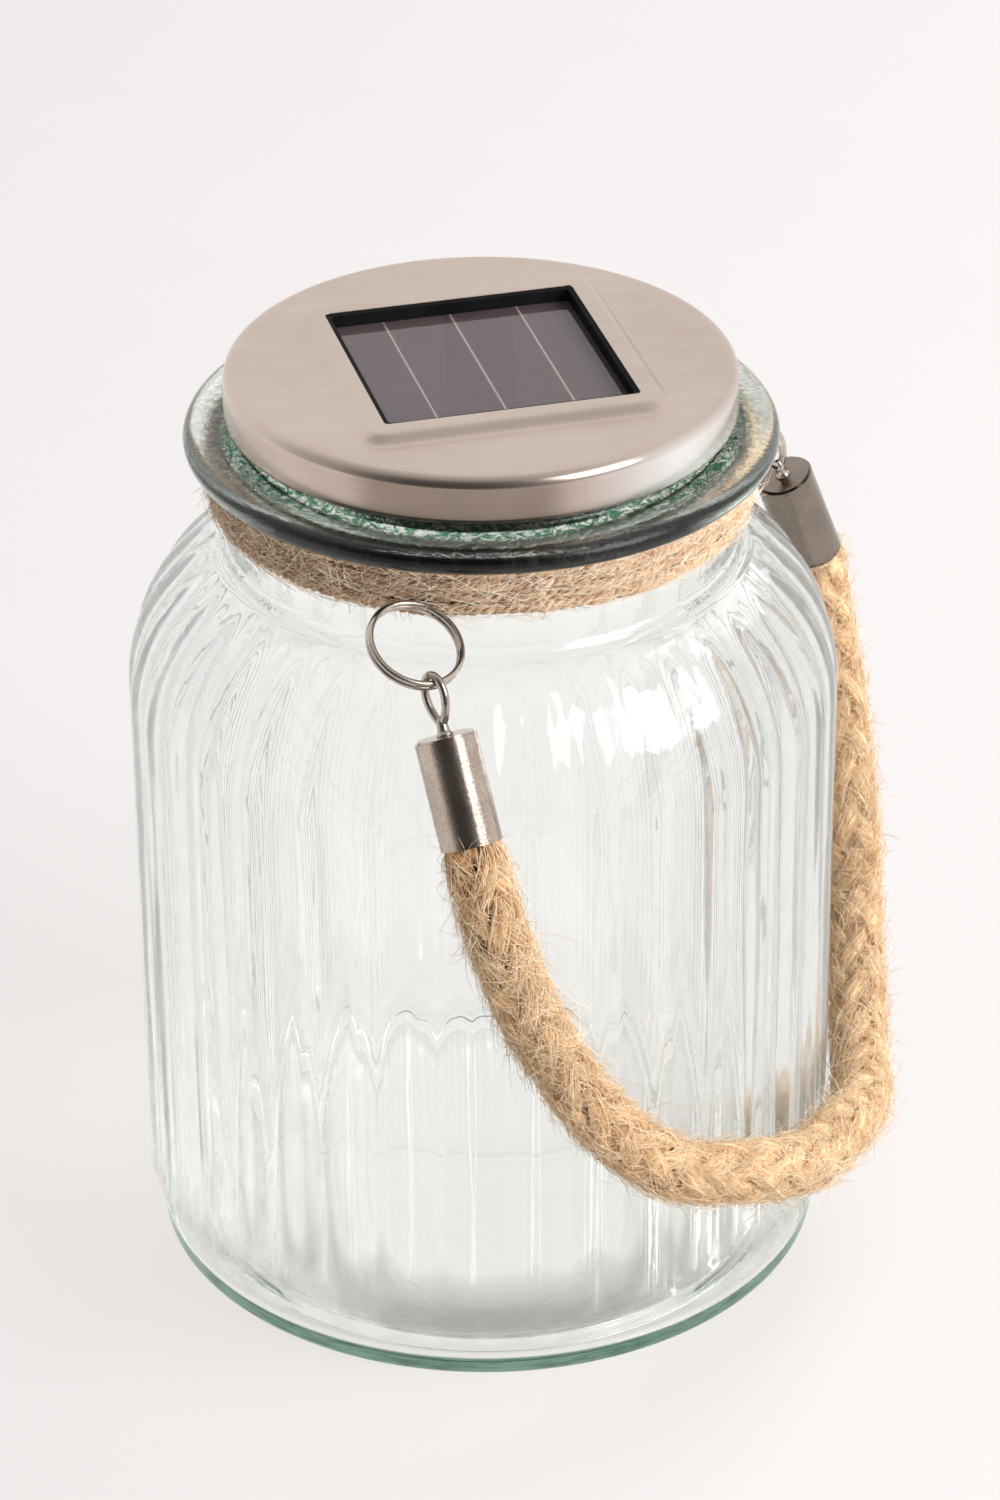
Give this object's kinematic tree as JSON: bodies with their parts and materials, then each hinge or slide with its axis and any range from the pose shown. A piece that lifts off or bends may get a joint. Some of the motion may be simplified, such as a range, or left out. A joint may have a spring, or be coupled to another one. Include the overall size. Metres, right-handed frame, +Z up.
{
  "type": "mason jar lantern",
  "caption": "Fluted glass jar lantern with a solar light unit in its screw lid, twine round the neck and a jute rope handle on split rings.",
  "frame": {"origin": "on the table, on the axis of the jar", "axes": "+Z up along the jar's axis, -Y towards the side that the front ring hangs on, +X towards the side that the rope hangs on"},
  "size_m": [0.1531, 0.1575, 0.1923],
  "materials": {
    "jar_glass": "clear pressed glass with a green tint in its edges",
    "jute_twine": "hairy natural jute twine",
    "jute_rope": "golden braided jute rope",
    "silicone": "soft milky silicone",
    "lid_steel": "satin stainless steel with fine straight grain",
    "black_plastic": "black moulded plastic",
    "circuit_green": "green circuit board",
    "solar_cell": "dark brown-purple silicon",
    "panel_resin": "glossy clear cover",
    "wire_jacket": "red and black wire jacket",
    "zinc_steel": "zinc plated steel",
    "led_epoxy": "clear warm epoxy",
    "battery_sleeve": "plain green shrink sleeve",
    "diffuser": "frosted clear plastic",
    "white_plastic": "white moulded plastic",
    "dark_nickel": "dark nickel plate, lightly pitted",
    "bright_nickel": "bright nickel plate"
  },
  "bodies": {
    "jar": {"glass_jar": "jar_glass", "neck_twine": "jute_twine"},
    "seal": {"lid_seal": "silicone"},
    "lid": {"lid_cap": "lid_steel", "lid_insert": "black_plastic", "panel_tray": "black_plastic", "panel_board": "circuit_green", "solar_cells": "solar_cell", "panel_cover": "panel_resin", "panel_leads": "wire_jacket", "light_housing": "black_plastic", "housing_screws": "zinc_steel", "circuit_board": "circuit_green", "leds": "led_epoxy", "battery": "battery_sleeve", "battery_spring": "zinc_steel", "battery_plate": "zinc_steel", "switch_body": "zinc_steel", "housing_cover": "black_plastic", "led_lens": "diffuser", "cover_screws": "zinc_steel"},
    "switch": {"switch_knob": "white_plastic"},
    "handle": {"handle_rope": "jute_rope", "ferrule_front": "dark_nickel", "ferrule_back": "dark_nickel", "eye_front": "bright_nickel", "eye_back": "bright_nickel", "ring_front": "bright_nickel", "ring_back": "bright_nickel"}
  },
  "joints": [
    {"name": "lid_lift", "type": "slide", "parent": "jar", "child": "seal", "axis": [0, 0, 1], "range_m": [0, 0.045]},
    {"name": "lid_turn", "type": "hinge", "parent": "seal", "child": "lid", "pos_m": [0, 0, 0.188], "axis": [0, 0, 1], "range_deg": [0, 270]},
    {"name": "switch_slide", "type": "slide", "parent": "lid", "child": "switch", "axis": [1, 0, 0], "range_m": [0, 0.0025]},
    {"name": "handle_swing", "type": "hinge", "parent": "jar", "child": "handle", "pos_m": [0.02111, -0.01281, 0.162], "axis": [-0.5939, -0.8043, -0.0203], "range_deg": [0, 150], "deforming": ["neck_twine"]}
  ]
}
